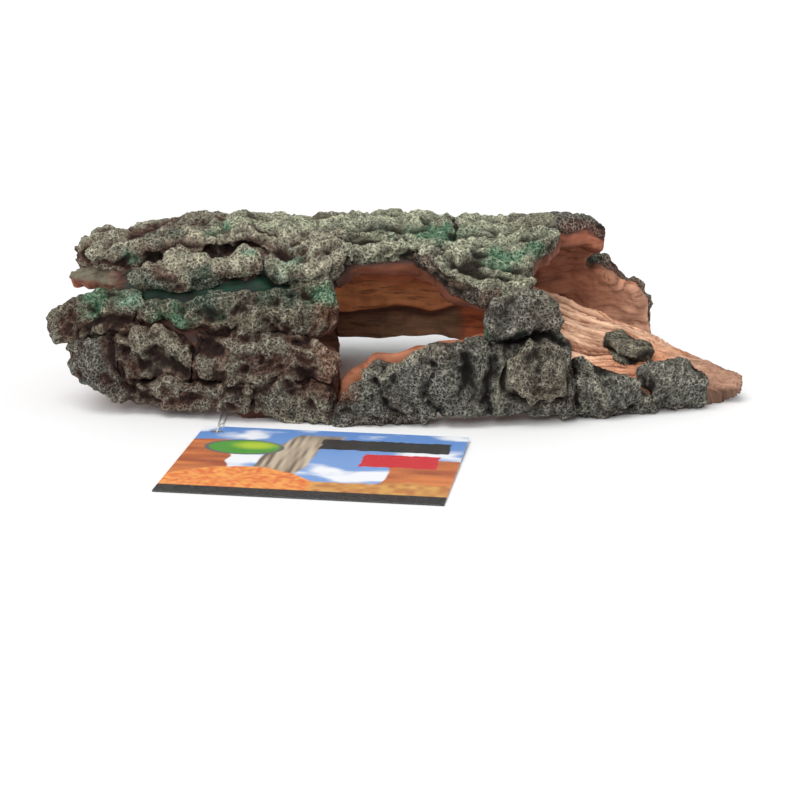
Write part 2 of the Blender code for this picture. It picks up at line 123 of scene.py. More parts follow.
# crests that the dry brush caught: width, height, points
RIDGES = [
    (0.9, 1.5, [(8, 64), (15, 56), (21.5, 48), (30, 39), (38, 38)]),
    (0.8, 0.9, [(4, 68), (14, 63), (22, 57)]),
    (0.7, 0.8, [(10, 66), (20, 60), (30, 51), (38, 46)]),
    (1.2, 1.1, [(-104, 63), (-92, 61), (-80, 62)]),
    (1.3, 1.3, [(-88, 45), (-78, 52), (-74, 56), (-70, 50), (-58, 51), (-48, 55)]),
    (1.3, 1.3, [(-42, 53), (-36, 49), (-30, 51), (-23, 56)]),
    (1.0, 0.9, [(-18, 62), (-8, 63), (3, 66)]),
    (1.1, 1.2, [(37, 9), (37, -2), (44, -5), (53, -3), (55, 4)]),
    (1.0, 1.2, [(66, 10), (73, 5), (79, -2), (84, -9)]),
    (1.0, 1.0, [(60, 10), (66, 0), (70, -12)]),
    (1.0, 0.9, [(62, 4), (59, -6), (62, -14)]),
    (1.1, 1.0, [(-48, -1), (-49.5, -7), (-51, -13)]),
    (1.0, 1.0, [(-92, 9), (-86, 6), (-80, 10), (-72, 9)]),
    (1.0, 1.0, [(33, 12), (34, 2), (33, -10)]),
    (1.0, 1.0, [(32, 30), (38, 34), (45, 33), (50, 26)]),
    (1.0, 0.9, [(-18, -3), (-10, 2), (0, 3), (10, 7)]),
    (1.0, 0.9, [(-60, 10), (-50, 9), (-40, 11), (-28, 8)]),
    (1.1, 1.1, [(-100, 119), (-70, 116), (-40, 121)]),
    (1.1, 1.1, [(-20, 142), (10, 140), (38, 144)]),
    (1.0, 1.0, [(-100, 160), (-70, 163), (-40, 158)]),
]

# ---- paint, as sRGB ---------------------------------------------------------------------------
GREY_BARK, PALE_BARK, DARK_BARK = (142, 137, 117), (156, 150, 128), (101, 99, 88)
OLIVE_BARK, ROOF_BARK, LOWER_BARK = (110, 102, 82), (166, 168, 141), (122, 113, 95)
BROWN_BARK, RUST, DEEP_WOOD = (98, 78, 62), (112, 62, 46), (54, 34, 27)
# the inside's wood, then lit and shaded copies of it: painted light and painted shade
INNER_WOOD, INNER_PAINTED_LIGHT, INNER_PAINTED_SHADE = (190, 104, 66), (254, 176, 116), (128, 94, 68)
INNER_TAN, SNAG_WOOD = (206, 158, 130), (112, 74, 58)
HEARTWOOD, HEART_ORANGE, HEART_GROOVE = (238, 196, 164), (222, 142, 98), (140, 86, 60)
HEART_TIP = (176, 134, 112)
MOSS_PAINT, DEEP_MOSS, MINT = (54, 134, 94), (12, 66, 46), (130, 176, 146)
BRUSHED_CREST, DARK_CREVICE, BARE_JAMB = (182, 176, 152), (44, 40, 36), (158, 104, 74)
SNAG_TOP, LONG_GROOVE, ROOF_LIP, SILL_WOOD = (104, 98, 82), (14, 34, 27), (118, 68, 47), (168, 106, 76)
# painted shadow under the ledge, and painted shade in the recess under the roof and beyond the window
LEDGE_SHADOW, RECESS_PAINTED_SHADE, SHADE_BEYOND_WINDOW = (40, 22, 18), (112, 56, 40), (150, 96, 72)
MOSSY_END = (112, 118, 56)

# factors on the paint: in pits, in hollows and on crests
PIT_TINT, HOLLOW_TINT, CREST_TINT = (0.12, 0.105, 0.1), (0.22, 0.17, 0.15), (2.7, 2.7, 2.6)
WOOD_HOLLOW_TINT = (0.32, 0.24, 0.2)
SHELL_GROOVE_TINT, SHELL_FIBRE_TINT = (0.45, 0.38, 0.34), (1.3, 1.32, 1.35)
HEART_GROOVE_TINT, HEART_FIBRE_TINT = (0.42, 0.3, 0.23), (1.2, 1.2, 1.17)
# linear colours, mixed by the materials themselves
DRY_BRUSH, CARD_DOT = (0.78, 0.77, 0.68, 1), (0.9, 0.9, 0.9, 1)
THREAD_SHADE, THREAD_LIGHT = (0.42, 0.41, 0.4, 1), (0.8, 0.79, 0.77, 1)
GLUE_AMBER, GLUE_CLOUD = (0.45, 0.36, 0.2, 1), (0.8, 0.72, 0.52, 1)
FLOOR_SHADE, FLOOR_LIGHT = (0.86, 0.86, 0.86, 1), (0.9, 0.9, 0.9, 1)

BARK_TONES = {
    "bark_crown_left": GREY_BARK, "bark_ledge_upper": PALE_BARK, "bark_ledge_lower": PALE_BARK,
    "bark_window_corner": PALE_BARK, "bark_crown_middle": ROOF_BARK, "bark_roof_front": ROOF_BARK,
    "bark_crown_right": ROOF_BARK, "bark_window_edge": BROWN_BARK, "bark_wall_left": OLIVE_BARK,
    "bark_roll_left": OLIVE_BARK, "bark_lobe_left": DARK_BARK, "bark_plate_left": LOWER_BARK,
    "bark_plate_window": LOWER_BARK, "bark_plate_foot_left": LOWER_BARK,
    "bark_foot_middle": LOWER_BARK, "bark_sill": DARK_BARK, "bark_boulder": DARK_BARK,
    "bark_front_middle": DARK_BARK, "bark_tongue": LOWER_BARK, "bark_front_right": DARK_BARK,
    "bark_low_right": DARK_BARK, "bark_patch_ramp": OLIVE_BARK,
    "bark_rear_left_upper": GREY_BARK, "bark_rear_left_lower": OLIVE_BARK,
    "bark_rear_middle_upper": GREY_BARK, "bark_rear_middle_lower": DARK_BARK,
    "bark_rear_right_upper": DARK_BARK, "bark_rear_right_lower": OLIVE_BARK,
}
WOOD_NODES = ["wood_front_left", "wood_roof", "wood_sill", "wood_front_right", "wood_rear_left",
              "wood_rear_middle", "wood_rear_right"]

# where moss-green paint was dabbed: x, y, z, radius in mm, and its colour
MOSS_DABS = [
    (-102, -27, 38, 10, MOSS_PAINT), (-75, -37, 35, 8, MOSS_PAINT), (-60, -39, 36, 6, MOSS_PAINT),
    (-90, -33, 38, 6, MINT), (-80, -33, 42, 10, DEEP_MOSS), (-62, -34, 44, 11, DEEP_MOSS),
    (-40, -37, 45, 12, DEEP_MOSS), (-24, -43, 43, 7, MOSS_PAINT), (-82, -14, 53, 10, DEEP_MOSS),
    (-62, -12, 57, 9, MOSS_PAINT), (-93, -20, 50, 4, MINT), (-36, -31, 52, 6, MINT),
    (-52, -30, 52, 4, MINT), (8, -16, 58, 11, MOSS_PAINT), (16, -10, 59, 9, MOSS_PAINT),
    (-8, -12, 59, 8, DEEP_MOSS), (34, -28, 54, 8, MOSS_PAINT), (46, -24, 54, 6, MOSS_PAINT),
    (31, -46, 33, 5, MOSS_PAINT), (42, -46, 31, 5, DEEP_MOSS), (-105, 20, 34, 8, MOSS_PAINT),
    (-60, 40, 30, 13, MOSS_PAINT), (30, 44, 34, 12, MOSS_PAINT), (70, 40, 38, 9, DEEP_MOSS),
    (-20, 30, 54, 11, MOSS_PAINT),
]


def linear(rgb):
    """sRGB of 0 to 255 as linear colour."""
    c = np.asarray(rgb, dtype=float) / 255
    return np.where(c <= 0.04045, c / 12.92, ((c + 0.055) / 1.055) ** 2.4)


# ---- noise ------------------------------------------------------------------------------------
def lattice(cells, seed):
    """A fixed pseudo-random number from 0 to 1 for each cell of a grid."""
    h = (cells[..., 0] * 374761393 + cells[..., 1] * 668265263 + cells[..., 2] * 1440662683
         + seed * 974634777) & 0xFFFFFFFF
    h = ((h ^ (h >> 13)) * 1274126177) & 0xFFFFFFFF
    h = ((h ^ (h >> 16)) * 2246822519) & 0xFFFFFFFF
    return ((h ^ (h >> 15)) & 0xFFFFFF) / float(0xFFFFFF)


def noise(points, size, seed=0):
    """Smooth noise from -1 to 1, with features of about `size`."""
    p = points / size
    base = np.floor(p).astype(np.int64)
    f = p - base
    f = f * f * (3 - 2 * f)
    total = np.zeros(len(points))
    for dx in (0, 1):
        for dy in (0, 1):
            for dz in (0, 1):
                weight = (np.abs(1 - dx - f[:, 0]) * np.abs(1 - dy - f[:, 1])
                          * np.abs(1 - dz - f[:, 2]))
                total += weight * lattice(base + (dx, dy, dz), seed)
    return total * 2 - 1


def fractal(points, size, octaves, seed=0):
    total, reach = np.zeros(len(points)), 1.0
    for k in range(octaves):
        total += reach * noise(points, size / 2**k, seed + k)
        reach *= 0.5
    return total


def cells(points, size, seed=0):
    """Distance to the nearest of scattered seeds: 0 at a seed, about 1 between them."""
    p = points / size
    base = np.floor(p).astype(np.int64)
    nearest = np.full(len(points), 9.0)
    for dx in (-1, 0, 1):
        for dy in (-1, 0, 1):
            for dz in (-1, 0, 1):
                cell = base + (dx, dy, dz)
                seed_at = cell + np.stack([lattice(cell, seed + k) for k in range(3)], axis=1)
                nearest = np.minimum(nearest, ((p - seed_at) ** 2).sum(axis=1))
    return np.sqrt(nearest)


def step(low, high, value):
    t = np.clip((value - low) / (high - low), 0, 1)
    return t * t * (3 - 2 * t)


def cover(paint, over, amount):
    """Lays linear colours over the paint, by an amount for each vertex."""
    return paint + (over - paint) * amount[:, None]


def blend_paint(paint, colour, amount):
    """Lays one sRGB colour over the paint, by an amount for each vertex."""
    return cover(paint, linear(colour), amount)


# ---- meshes -----------------------------------------------------------------------------------
def place(obj, body, *nodes):
    bpy.context.scene.collection.objects.link(obj)
    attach(obj, body)
    if nodes:
        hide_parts(*nodes)
    return obj


def voxel_copy(node, voxel, smoothing):
    """The CAD solid as an even, round-edged mesh of voxel-sized faces."""
    source = bpy.data.objects.new(node + "_source", frame["nodes"][node].data.copy())
    bpy.context.scene.collection.objects.link(source)
    source.data.materials.clear()
    remesh = source.modifiers.new("voxels", "REMESH")
    remesh.mode = "VOXEL"
    remesh.voxel_size = voxel * MM
    smooth = source.modifiers.new("round", "SMOOTH")
    smooth.factor, smooth.iterations = 0.5, smoothing
    evaluated = source.evaluated_get(bpy.context.evaluated_depsgraph_get())
    mesh = bpy.data.meshes.new_from_object(evaluated)
    bpy.data.objects.remove(source)
    mesh.name = node + "_sculpt"
    return mesh


def read_points(mesh):
    flat = np.empty(len(mesh.vertices) * 3, dtype=np.float32)
    mesh.vertices.foreach_get("co", flat)
    return flat.reshape(-1, 3).astype(float) / MM


def read_normals(mesh):
    flat = np.empty(len(mesh.vertices) * 3, dtype=np.float32)
    mesh.vertex_normals.foreach_get("vector", flat)
    return flat.reshape(-1, 3).astype(float)


def write_points(mesh, points):
    points = points.copy()
    points[:, 2] = np.maximum(points[:, 2], 0)      # nothing goes through the floor
    mesh.vertices.foreach_set("co", (points * MM).astype(np.float32).ravel())
    mesh.update()


def store(mesh, name, values):
    """Keeps a number or a colour on every vertex, for the material to read."""
    if values.ndim == 1:
        layer = mesh.attributes.new(name, "FLOAT", "POINT")
        layer.data.foreach_set("value", values.astype(np.float32))
    elif name == "paint":
        layer = mesh.color_attributes.new(name, "FLOAT_COLOR", "POINT")
        rgba = np.column_stack([values, np.ones(len(values))])
        layer.data.foreach_set("color", rgba.astype(np.float32).ravel())
    else:
        layer = mesh.attributes.new(name, "FLOAT_VECTOR", "POINT")
        layer.data.foreach_set("vector", values.astype(np.float32).ravel())


def warp(points):
    """The waver that every edge and seam shares, so that neighbours still meet."""
    shift = np.zeros_like(points)
    for k, (size, reach) in enumerate(WARP):
        for axis in range(3):
            shift[:, axis] += reach * noise(points, size, 40 + 3 * k + axis)
    shift[:, 2] *= step(0, 6, points[:, 2])         # feet stay on the floor
    shift[:, 2] *= 1 - 0.8 * step(26, 14, points[:, 2]) * step(5, 20, points[:, 1])
    notch = np.exp(-((log_degrees(points) - 13.5) / 4) ** 2 - ((points[:, 0] + 22) / 5) ** 2)
    shift[:, 0] -= 4.5 * notch                      # bite out of the window's left jamb
    return shift


def around_log(points):
    """Angle round the log's axis, distance from it, and the outward direction."""
    out = points[:, 1:] - AXIS
    radius = np.linalg.norm(out, axis=1)
    return np.arctan2(out[:, 1], -out[:, 0]), radius, out / np.maximum(radius, 1e-6)[:, None]


def log_degrees(points):
    """How far round the log each point is: 0 at the front, 90 on top, 180 at the rear."""
    front, rear, crown = (np.interp(points[:, 0], LOG_STATIONS[:, 0], LOG_STATIONS[:, k])
                          for k in (1, 2, 3))
    up = (points[:, 2] / crown - WAIST) / (1 - WAIST)
    across = ((front + rear) / 2 - points[:, 1]) / ((rear - front) / 2)
    power = SQUARENESS / 2
    return np.degrees(np.arctan2(np.sign(up) * np.abs(up) ** power,
                                 np.sign(across) * np.abs(across) ** power))


def line_profile(points, lines):
    """How high each of a set of lines stands over its surroundings, and how near the nearest is."""
    jitter = [1.3 * noise(points, 5.5, k) + 0.7 * noise(points, 2.0, k + 2) for k in (61, 62)]
    unrolled = np.column_stack([points[:, 0] + jitter[0],
                                log_degrees(points) * MM_PER_DEGREE + jitter[1]])
    height, nearness = np.zeros(len(points)), np.zeros(len(points))
    for width, reach, line in lines:
        corners = np.array(line, dtype=float) * (1, MM_PER_DEGREE)
        nearest = np.full(len(points), 1e9)
        for start, end in zip(corners[:-1], corners[1:]):
            run = end - start
            t = np.clip((unrolled - start) @ run / (run @ run), 0, 1)
            away = np.linalg.norm(unrolled - start - t[:, None] * run, axis=1)
            nearest = np.minimum(nearest, away)
        profile = np.clip(1 - nearest / (1.7 * width), 0, 1) ** 1.4
        height = np.maximum(height, reach * profile)
        nearness = np.maximum(nearness, profile)
    return height, nearness


def dab_moss(paint, points, strength=1.0):
    for n, (x, y, z, radius, colour) in enumerate(MOSS_DABS):
        away = np.linalg.norm((points - (x, y, z)) * (0.8, 1, 1.1), axis=1) / radius
        patchy = 1.25 - away + 0.45 * noise(points, 4.5, 70 + n) + 0.25 * noise(points, 1.8, 90 + n)
        paint = blend_paint(paint, colour, strength * 0.72 * step(0.3, 1.1, patchy))
    return paint


# ---- node-graph helpers -----------------------------------------------------------------------
class Graph:
    """A material's nodes, added one call at a time. An input is a socket or a constant."""

    def __init__(self, name):
        self.material = bpy.data.materials.new(name)
        self.material.use_nodes = True
        self.tree = self.material.node_tree
        self.shader = self.tree.nodes["Principled BSDF"]

    def add(self, kind, settings=None, **inputs):
        node = self.tree.nodes.new(kind)
        for key, value in (settings or {}).items():
            setattr(node, key, value)
        for key, value in inputs.items():
            self.plug(node.inputs[key.replace("_", " ")], value)
        return node

    def plug(self, socket, value):
        if isinstance(value, bpy.types.NodeSocket):
            self.tree.links.new(value, socket)
        else:
            socket.default_value = value

    def math(self, operation, a, b=0.0):
        node = self.tree.nodes.new("ShaderNodeMath")
        node.operation = operation
        self.plug(node.inputs[0], a)
        self.plug(node.inputs[1], b)
        return node.outputs[0]

    def mix(self, amount, a, b, blend="MIX"):
        node = self.tree.nodes.new("ShaderNodeMix")
        node.data_type, node.blend_type = "RGBA", blend
        self.plug(node.inputs[0], amount)
        self.plug(node.inputs[6], a)
        self.plug(node.inputs[7], b)
        return node.outputs[2]

    def tint(self, colour, factor):
        """The colour multiplied by red, green and blue factors."""
        return self.mix(1.0, colour, (*factor, 1), "MULTIPLY")

    def ramp(self, value, low, high, to_low=0.0, to_high=1.0):
        """A smooth step of the value, from `low` to `high`."""
        return self.add("ShaderNodeMapRange", {"interpolation_type": "SMOOTHSTEP"}, Value=value,
                        From_Min=low, From_Max=high, To_Min=to_low, To_Max=to_high).outputs[0]

    def noise_texture(self, vector, scale, detail, output="Fac", **inputs):
        return self.add("ShaderNodeTexNoise", Vector=vector, Scale=scale, Detail=detail,
                        **inputs).outputs[output]

    def cell_edge(self, vector, scale):
        """Distance to the edge of the nearest cell of an irregular net."""
        return self.add("ShaderNodeTexVoronoi", {"feature": "DISTANCE_TO_EDGE"}, Vector=vector,
                        Scale=scale).outputs["Distance"]

    def attribute(self, name, output="Fac"):
        return self.add("ShaderNodeAttribute", {"attribute_name": name}).outputs[output]

    def millimetres(self):
        coords = self.add("ShaderNodeTexCoord").outputs["Object"]
        scaled = self.add("ShaderNodeVectorMath", {"operation": "SCALE"})
        self.plug(scaled.inputs[0], coords)
        scaled.inputs["Scale"].default_value = 1 / MM
        return scaled.outputs[0]

    def bump(self, height, strength, depth):
        node = self.add("ShaderNodeBump", Height=height)
        node.inputs["Strength"].default_value = strength
        node.inputs["Distance"].default_value = depth * MM
        self.plug(self.shader.inputs["Normal"], node.outputs[0])


def bark_material():
    """Pitted bark: dark wash in the pits, a net of dry-brushed ridges between them."""
    g = Graph("resin_bark")
    mm = g.millimetres()
    paint, relief = g.attribute("paint", "Color"), g.attribute("relief")
    bent = g.mix(0.9, mm, g.noise_texture(mm, 0.8, 3.0, "Color"), "LINEAR_LIGHT")
    grit = g.noise_texture(mm, 1.3, 5.0, Roughness=0.7)
    patch = g.noise_texture(mm, 0.3, 3.0)
    net = g.math("MAXIMUM", g.ramp(g.cell_edge(bent, 0.58), 0.2, 0.01),
                 g.ramp(g.cell_edge(bent, 1.25), 0.18, 0.01, 0.0, 0.7))
    net = g.math("MULTIPLY", net, g.ramp(grit, 0.34, 0.6, 0.2, 1.0))

    out_of_pits = g.ramp(g.math("ADD", net, g.math("MULTIPLY", grit, 0.7)), 0.28, 0.66)
    colour = g.mix(out_of_pits, g.tint(paint, PIT_TINT), paint)
    brush = g.math("MULTIPLY", g.ramp(relief, 0.15, 0.75, 0.2, 1.0),
                   g.ramp(patch, 0.35, 0.6, 0.35, 1.0))
    brushed = g.mix(0.45, g.tint(paint, CREST_TINT), DRY_BRUSH)
    colour = g.mix(g.math("MULTIPLY", g.ramp(net, 0.3, 0.8), brush), colour, brushed)
    colour = g.mix(g.ramp(relief, 0.4, 0.02), colour, g.tint(colour, HOLLOW_TINT))
    g.plug(g.shader.inputs["Base Color"], colour)
    g.plug(g.shader.inputs["Roughness"], g.ramp(net, 0.2, 0.8, 0.6, 0.85))
    g.shader.inputs["Specular IOR Level"].default_value = 0.3
    g.bump(g.math("ADD", net, g.math("MULTIPLY", grit, 0.9)), 1.0, 0.8)
    return g.material


def wood_material(name, groove_tint, fibre_tint, bump_depth):
    """Grained wood: thin dark grooves and lighter fibres along the grain, mottled by hand paint."""
    g = Graph(name)
    mm = g.millimetres()
    paint, relief = g.attribute("paint", "Color"), g.attribute("relief")
    fibre = g.noise_texture(g.attribute("grain", "Vector"), 1.0, 5.0, Roughness=0.65,
                            Distortion=0.4)
    mottle = g.noise_texture(mm, 0.14, 4.0)
    speck = g.noise_texture(mm, 1.1, 3.0)
    groove, light = g.tint(paint, groove_tint), g.tint(paint, fibre_tint)
    colour = g.mix(g.ramp(fibre, 0.34, 0.5), groove, paint)
    colour = g.mix(g.ramp(fibre, 0.5, 0.68, 0, 0.8), colour, light)
    colour = g.mix(g.ramp(mottle, 0.42, 0.7, 0, 0.55), colour, groove)
    colour = g.mix(g.ramp(speck, 0.55, 0.75, 0, 0.35), colour, light)
    colour = g.mix(g.ramp(relief, 0.4, 0.0), colour, g.tint(colour, WOOD_HOLLOW_TINT))
    g.plug(g.shader.inputs["Base Color"], colour)
    g.plug(g.shader.inputs["Roughness"], g.ramp(fibre, 0.3, 0.7, 0.55, 0.78))
    g.shader.inputs["Specular IOR Level"].default_value = 0.35
    g.bump(g.math("ADD", fibre, g.math("MULTIPLY", speck, 0.4)), 0.7, bump_depth)
    return g.material


def printed_card_material():
    g = Graph("printed_card")
    dots = g.noise_texture(g.millimetres(), 3.0, 2.0)
    g.plug(g.shader.inputs["Base Color"],
           g.mix(g.ramp(dots, 0.35, 0.75, 0, 0.12), g.attribute("paint", "Color"), CARD_DOT))
    g.shader.inputs["Roughness"].default_value = 0.38
    g.shader.inputs["Coat Weight"].default_value = 0.25
    g.bump(dots, 0.05, 0.05)
    return g.material


def thread_material():
    g = Graph("twisted_thread")
    twist = g.add("ShaderNodeTexWave", {"bands_direction": "DIAGONAL"}, Vector=g.millimetres(),
                  Scale=1.4, Distortion=0.6).outputs["Fac"]
    g.plug(g.shader.inputs["Base Color"], g.mix(twist, THREAD_SHADE, THREAD_LIGHT))
    g.shader.inputs["Roughness"].default_value = 0.6
    g.bump(twist, 0.6, 0.06)
    return g.material


def glue_material():
    g = Graph("set_glue")
    cloud = g.noise_texture(g.millimetres(), 0.8, 3.0)
    g.plug(g.shader.inputs["Base Color"], g.mix(cloud, GLUE_AMBER, GLUE_CLOUD))
    g.shader.inputs["Roughness"].default_value = 0.22
    g.bump(cloud, 0.2, 0.1)
    return g.material


def floor_material():
    g = Graph("pale_floor")
    tone = g.noise_texture(g.millimetres(), 0.01, 2.0)
    g.plug(g.shader.inputs["Base Color"], g.mix(tone, FLOOR_SHADE, FLOOR_LIGHT))
    g.shader.inputs["Roughness"].default_value = 0.7
    return g.material


# ---- sculpted pieces --------------------------------------------------------------------------
def sculpted(node, mesh, material, **layers):
    """The finished piece, with each layer kept on its vertices for the material to read."""
    for name, values in layers.items():
        store(mesh, name, values)
    mesh.materials.append(material)
    mesh.shade_smooth()
    return place(bpy.data.objects.new(node + "_sculpted", mesh), "ornament", node)


def bark_piece(node, tone, material):
    mesh = voxel_copy(node, BARK_VOXEL, 6)
    points, normals = read_points(mesh), read_normals(mesh)
    x, y, z = points.T
    _, _, outward = around_log(points)
    facing = (normals[:, 1:] * outward).sum(axis=1)         # 1 outside, -1 on the back of the slab

    sunk, in_crevice = line_profile(points, CREVICES)
    raised, on_ridge = line_profile(points, RIDGES)
    on_top = step(38, 52, log_degrees(points))              # stepped above, knobbly below
    right_of_window = step(-24, -14, x)
    lumps = 1 - 2 * np.abs(fractal(points, 12, 3, 1)) * 1.15
    knobs = 0.55 - cells(points + 2.0 * noise(points, 5, 9)[:, None], 6.5, 5)
    knobs = 1.5 * knobs * (1 - on_top)
    ledges = 1.2 * noise(points * (0.3, 1, 1), 3.6, 8) * on_top
    pits = cells(points * (1, 1.1, 1.1) + 0.5 * noise(points, 1.6, 10)[:, None], 2.6, 6) - 0.55
    crumbs = 0.6 - 2 * np.abs(fractal(points, 4.5, 3, 11))
    ribs = (0.6 - 2 * np.abs(noise(points * (1, 0.45, 0.45), 4.2, 13))) * (1 - on_top)
    ribs *= right_of_window                                 # short and upright
    voids = cells(points * (0.6, 1, 1) + noise(points, 3, 14)[:, None], 6.5, 15)
    voids = step(0.46, 0.22, voids) * (1 - 0.7 * right_of_window * (1 - on_top))
    small = 1.4 * pits + 0.9 * crumbs + 0.8 * ribs - 1.4 * voids
    relief = 0.7 * lumps + knobs + ledges + small
    outside = 0.3 + 0.7 * step(-0.4, 0.4, facing)
    flat = 0.35 if node == "bark_patch_ramp" else 1.0       # the scrap on the ramp lies low
    height = BARK_SWELL * flat + (relief * flat + raised - sunk) * outside
    write_points(mesh, points + warp(points) + normals * height[:, None])

    paint = np.tile(linear(tone), (len(points), 1))
    paint *= (1 + 0.25 * noise(points, 14, 21))[:, None]
    # painted light: faces that turn upward are painted lighter, as the light from above falls on them
    painted_top_light = 0.9 + 0.45 * np.clip(normals[:, 2], 0, 1)
    paint *= ((0.42 + 1.05 * step(-1.3, 1.5, small)) * painted_top_light)[:, None]
    paint = blend_paint(paint, BROWN_BARK, 0.45 * step(0.1, 0.6, noise(points, 12, 23)))
    left = step(-10, -30, x)
    low = relief + 1.2 * noise(points, 8, 24)
    rusty = left * (0.9 * in_crevice + 0.8 * step(-0.1, -1.8, low)) + step(0.15, -0.3, facing)
    paint = blend_paint(paint, RUST, 0.8 * np.clip(rusty, 0, 1))
    paint = blend_paint(paint, DARK_CREVICE, 0.7 * in_crevice * (1 - left))
    jamb = step(-30, -23, x) * step(-12, -18, x) * step(-15, -25, y)
    jamb *= step(46, 42, z) * step(-0.7, 0.3, noise(points, 6, 26))
    paint = blend_paint(paint, BARE_JAMB, 0.6 * jamb * step(8, 12, z))
    paint = dab_moss(paint, points)
    paint = blend_paint(paint, BRUSHED_CREST, 0.5 * on_ridge)
    relief += 1.6 * on_ridge - 2.2 * in_crevice
    return sculpted(node, mesh, material, paint=np.clip(paint, 0, 1),
                    relief=np.clip(0.55 + 0.24 * relief, 0, 1))


def wood_piece(node, material):
    mesh = voxel_copy(node, WOOD_VOXEL, 5)
    points, normals = read_points(mesh), read_normals(mesh)
    x, y, z = points.T
    angle, radius, outward = around_log(points)
    facing = (normals[:, 1:] * outward).sum(axis=1)
    inside = step(0.1, -0.5, facing)

    grain = np.column_stack([x / 16, angle * 45 / 2.6, radius / 3.0])
    fibres = noise(grain, 1.0, 3) + 0.5 * noise(grain * 2.1, 1.0, 4)
    lumps = fractal(points, 13, 3, 2)
    rear = step(10, 22, y) * inside
    waver = 1.6 * noise(points * (1, 0, 0), 11, 32)
    arch = rear * step(25, 19, x - waver)                   # the leg beyond it is left out of the painted shade
    ledge = np.exp(-((z - 18.5 - waver) / 1.2) ** 2) * arch         # along the rear wall
    band = step(19, 21, z - waver) * step(36, 29, z - waver) * rear
    relief = 0.45 * fibres + 0.55 * lumps
    flaked = 0.9 * step(-92, -98, x) + 0.55 * step(40, 52, x)
    relief += flaked * (0.6 - 2 * np.abs(fractal(points, 5, 3, 35)))
    height = WOOD_SWELL + relief * (1 - 0.4 * inside) + 1.3 * band - 1.2 * ledge
    write_points(mesh, points + warp(points) + normals * height[:, None])

    paint = np.tile(linear(DEEP_WOOD), (len(points), 1))
    paint = blend_paint(paint, RUST, 0.6 * step(-0.3, 0.5, relief))
    snag = step(-94, -101, x) * step(28, 34, z) * (1 - inside)
    paint = blend_paint(paint, SNAG_WOOD, snag)
    paint = blend_paint(paint, SNAG_TOP, snag * step(0.1, 0.6, normals[:, 2] + 0.7 * lumps))
    groove = (1 - inside) * step(-96, -90, x) * step(-20, -26, x)
    paint = blend_paint(paint, LONG_GROOVE, 0.92 * groove * step(34, 38, z))
    lip = (1 - inside) * step(-22, -14, x) * step(36, 40, z)
    paint = blend_paint(paint, ROOF_LIP, 0.8 * lip * step(0.3, -0.2, normals[:, 2]))
    if node == "wood_sill":
        paint = blend_paint(paint, SILL_WOOD, 0.8 * step(8, 14, z))
    paint = blend_paint(paint, INNER_WOOD, inside)
    patches = step(-0.5, 0.5, noise(points, 12, 31) + 0.3)
    # painted light: a patchy band of the rear wall, where light falls through the window, painted
    # brighter
    paint = blend_paint(paint, INNER_PAINTED_LIGHT, 0.8 * band * patches)
    # painted shade: the rear wall's lower edge, under the band, painted darker where shade falls
    paint = blend_paint(paint, INNER_PAINTED_SHADE, arch * step(20, 17, z - waver))
    paint = blend_paint(paint, LEDGE_SHADOW, 0.85 * ledge)
    # painted shade: the inside faces high up under the roof painted darker
    paint = blend_paint(paint, RECESS_PAINTED_SHADE, 0.8 * (inside * step(34, 42, z)))
    # painted shade: the inside faces at the right, beyond the window's light, painted darker
    paint = blend_paint(paint, SHADE_BEYOND_WINDOW, 0.9 * (step(34, 46, x) * inside))
    right_end = step(66, 90, x + 4 * noise(points, 8, 34))
    paint = blend_paint(paint, INNER_TAN, 0.8 * right_end * inside)
    paint = blend_paint(paint, MOSSY_END, 0.8 * (step(-96, -104, x) * rear))
    paint = cover(paint, dab_moss(paint, points, 0.9), 1 - inside)
    return sculpted(node, mesh, material, paint=np.clip(paint, 0, 1),
                    relief=np.clip(0.62 + 0.3 * relief, 0, 1), grain=grain)


def ramp_piece(material):
    """The heartwood ramp: its grain gathers towards the point."""
    node = "heartwood_ramp"
    mesh = voxel_copy(node, BARK_VOXEL, 5)
    points, normals = read_points(mesh), read_normals(mesh)
    x, y, z = points.T
    low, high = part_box(node)
    along = np.clip((x - low[0] / MM) / ((high[0] - low[0]) / MM), 0, 1)
    front, width = -37 + 21 * along, 47 - 35 * along
    edge = 27 - 19 * along                                  # height of the ramp's front edge
    across = (y - front) / width * 46 + np.minimum(z - edge, 0) * (1 + along)
    grain = np.column_stack([x / 19, (across + 1.2 * noise(points, 14, 12)) / 1.5,
                             np.zeros(len(points))])
    grooves = -np.abs(noise(grain, 1.0, 3)) * 2 + 0.6
    steps = noise(grain * (1.1, 0.28, 1), 1.0, 7)
    fine = -np.abs(noise(grain * (1.7, 2.0, 1), 1.0, 4)) * 2 + 0.6
    relief = 0.6 * grooves + 0.6 * steps + 0.7 * fine
    write_points(mesh, points + 0.8 * warp(points) + normals * (0.3 + 0.9 * relief)[:, None])

    tip = step(100, 107, x)
    paint = np.tile(linear(HEARTWOOD), (len(points), 1))
    orange = step(52, 84, x) * (1 - tip) * step(-0.6, 0.4, noise(points, 13, 33))
    paint = blend_paint(paint, HEART_ORANGE, 0.75 * orange)
    paint = blend_paint(paint, HEART_GROOVE, 0.95 * step(0.15, -0.9, relief))
    paint = blend_paint(paint, HEART_TIP, 0.8 * tip)
    under = step(0.1, -0.4, normals[:, 2]) * step(0.0, 4.0, edge - z)
    paint = blend_paint(paint, DEEP_WOOD, 0.6 * under)
    return sculpted(node, mesh, material, paint=np.clip(paint, 0, 1),
                    relief=np.clip(0.62 + 0.35 * relief, 0, 1), grain=grain * (1.0, 2.4, 1.0))


# ---- swing tag --------------------------------------------------------------------------------
TAG_SIZE = (88.0, 64.0)
TAG_HOLE_AT = (5.3, 4.8)        # from its left and upper edges
TAG_HOLE_RADIUS = 2.2
TAG_TURN, TAG_TILT = math.radians(-8.6), math.radians(0.9)
TAG_THICKNESS = 0.5
TAG_GRID = 0.32                 # side of the face's squares, fine enough for the print
SKY_LOW, SKY_HIGH, CLOUD = (120, 160, 218), (88, 138, 206), (244, 246, 250)
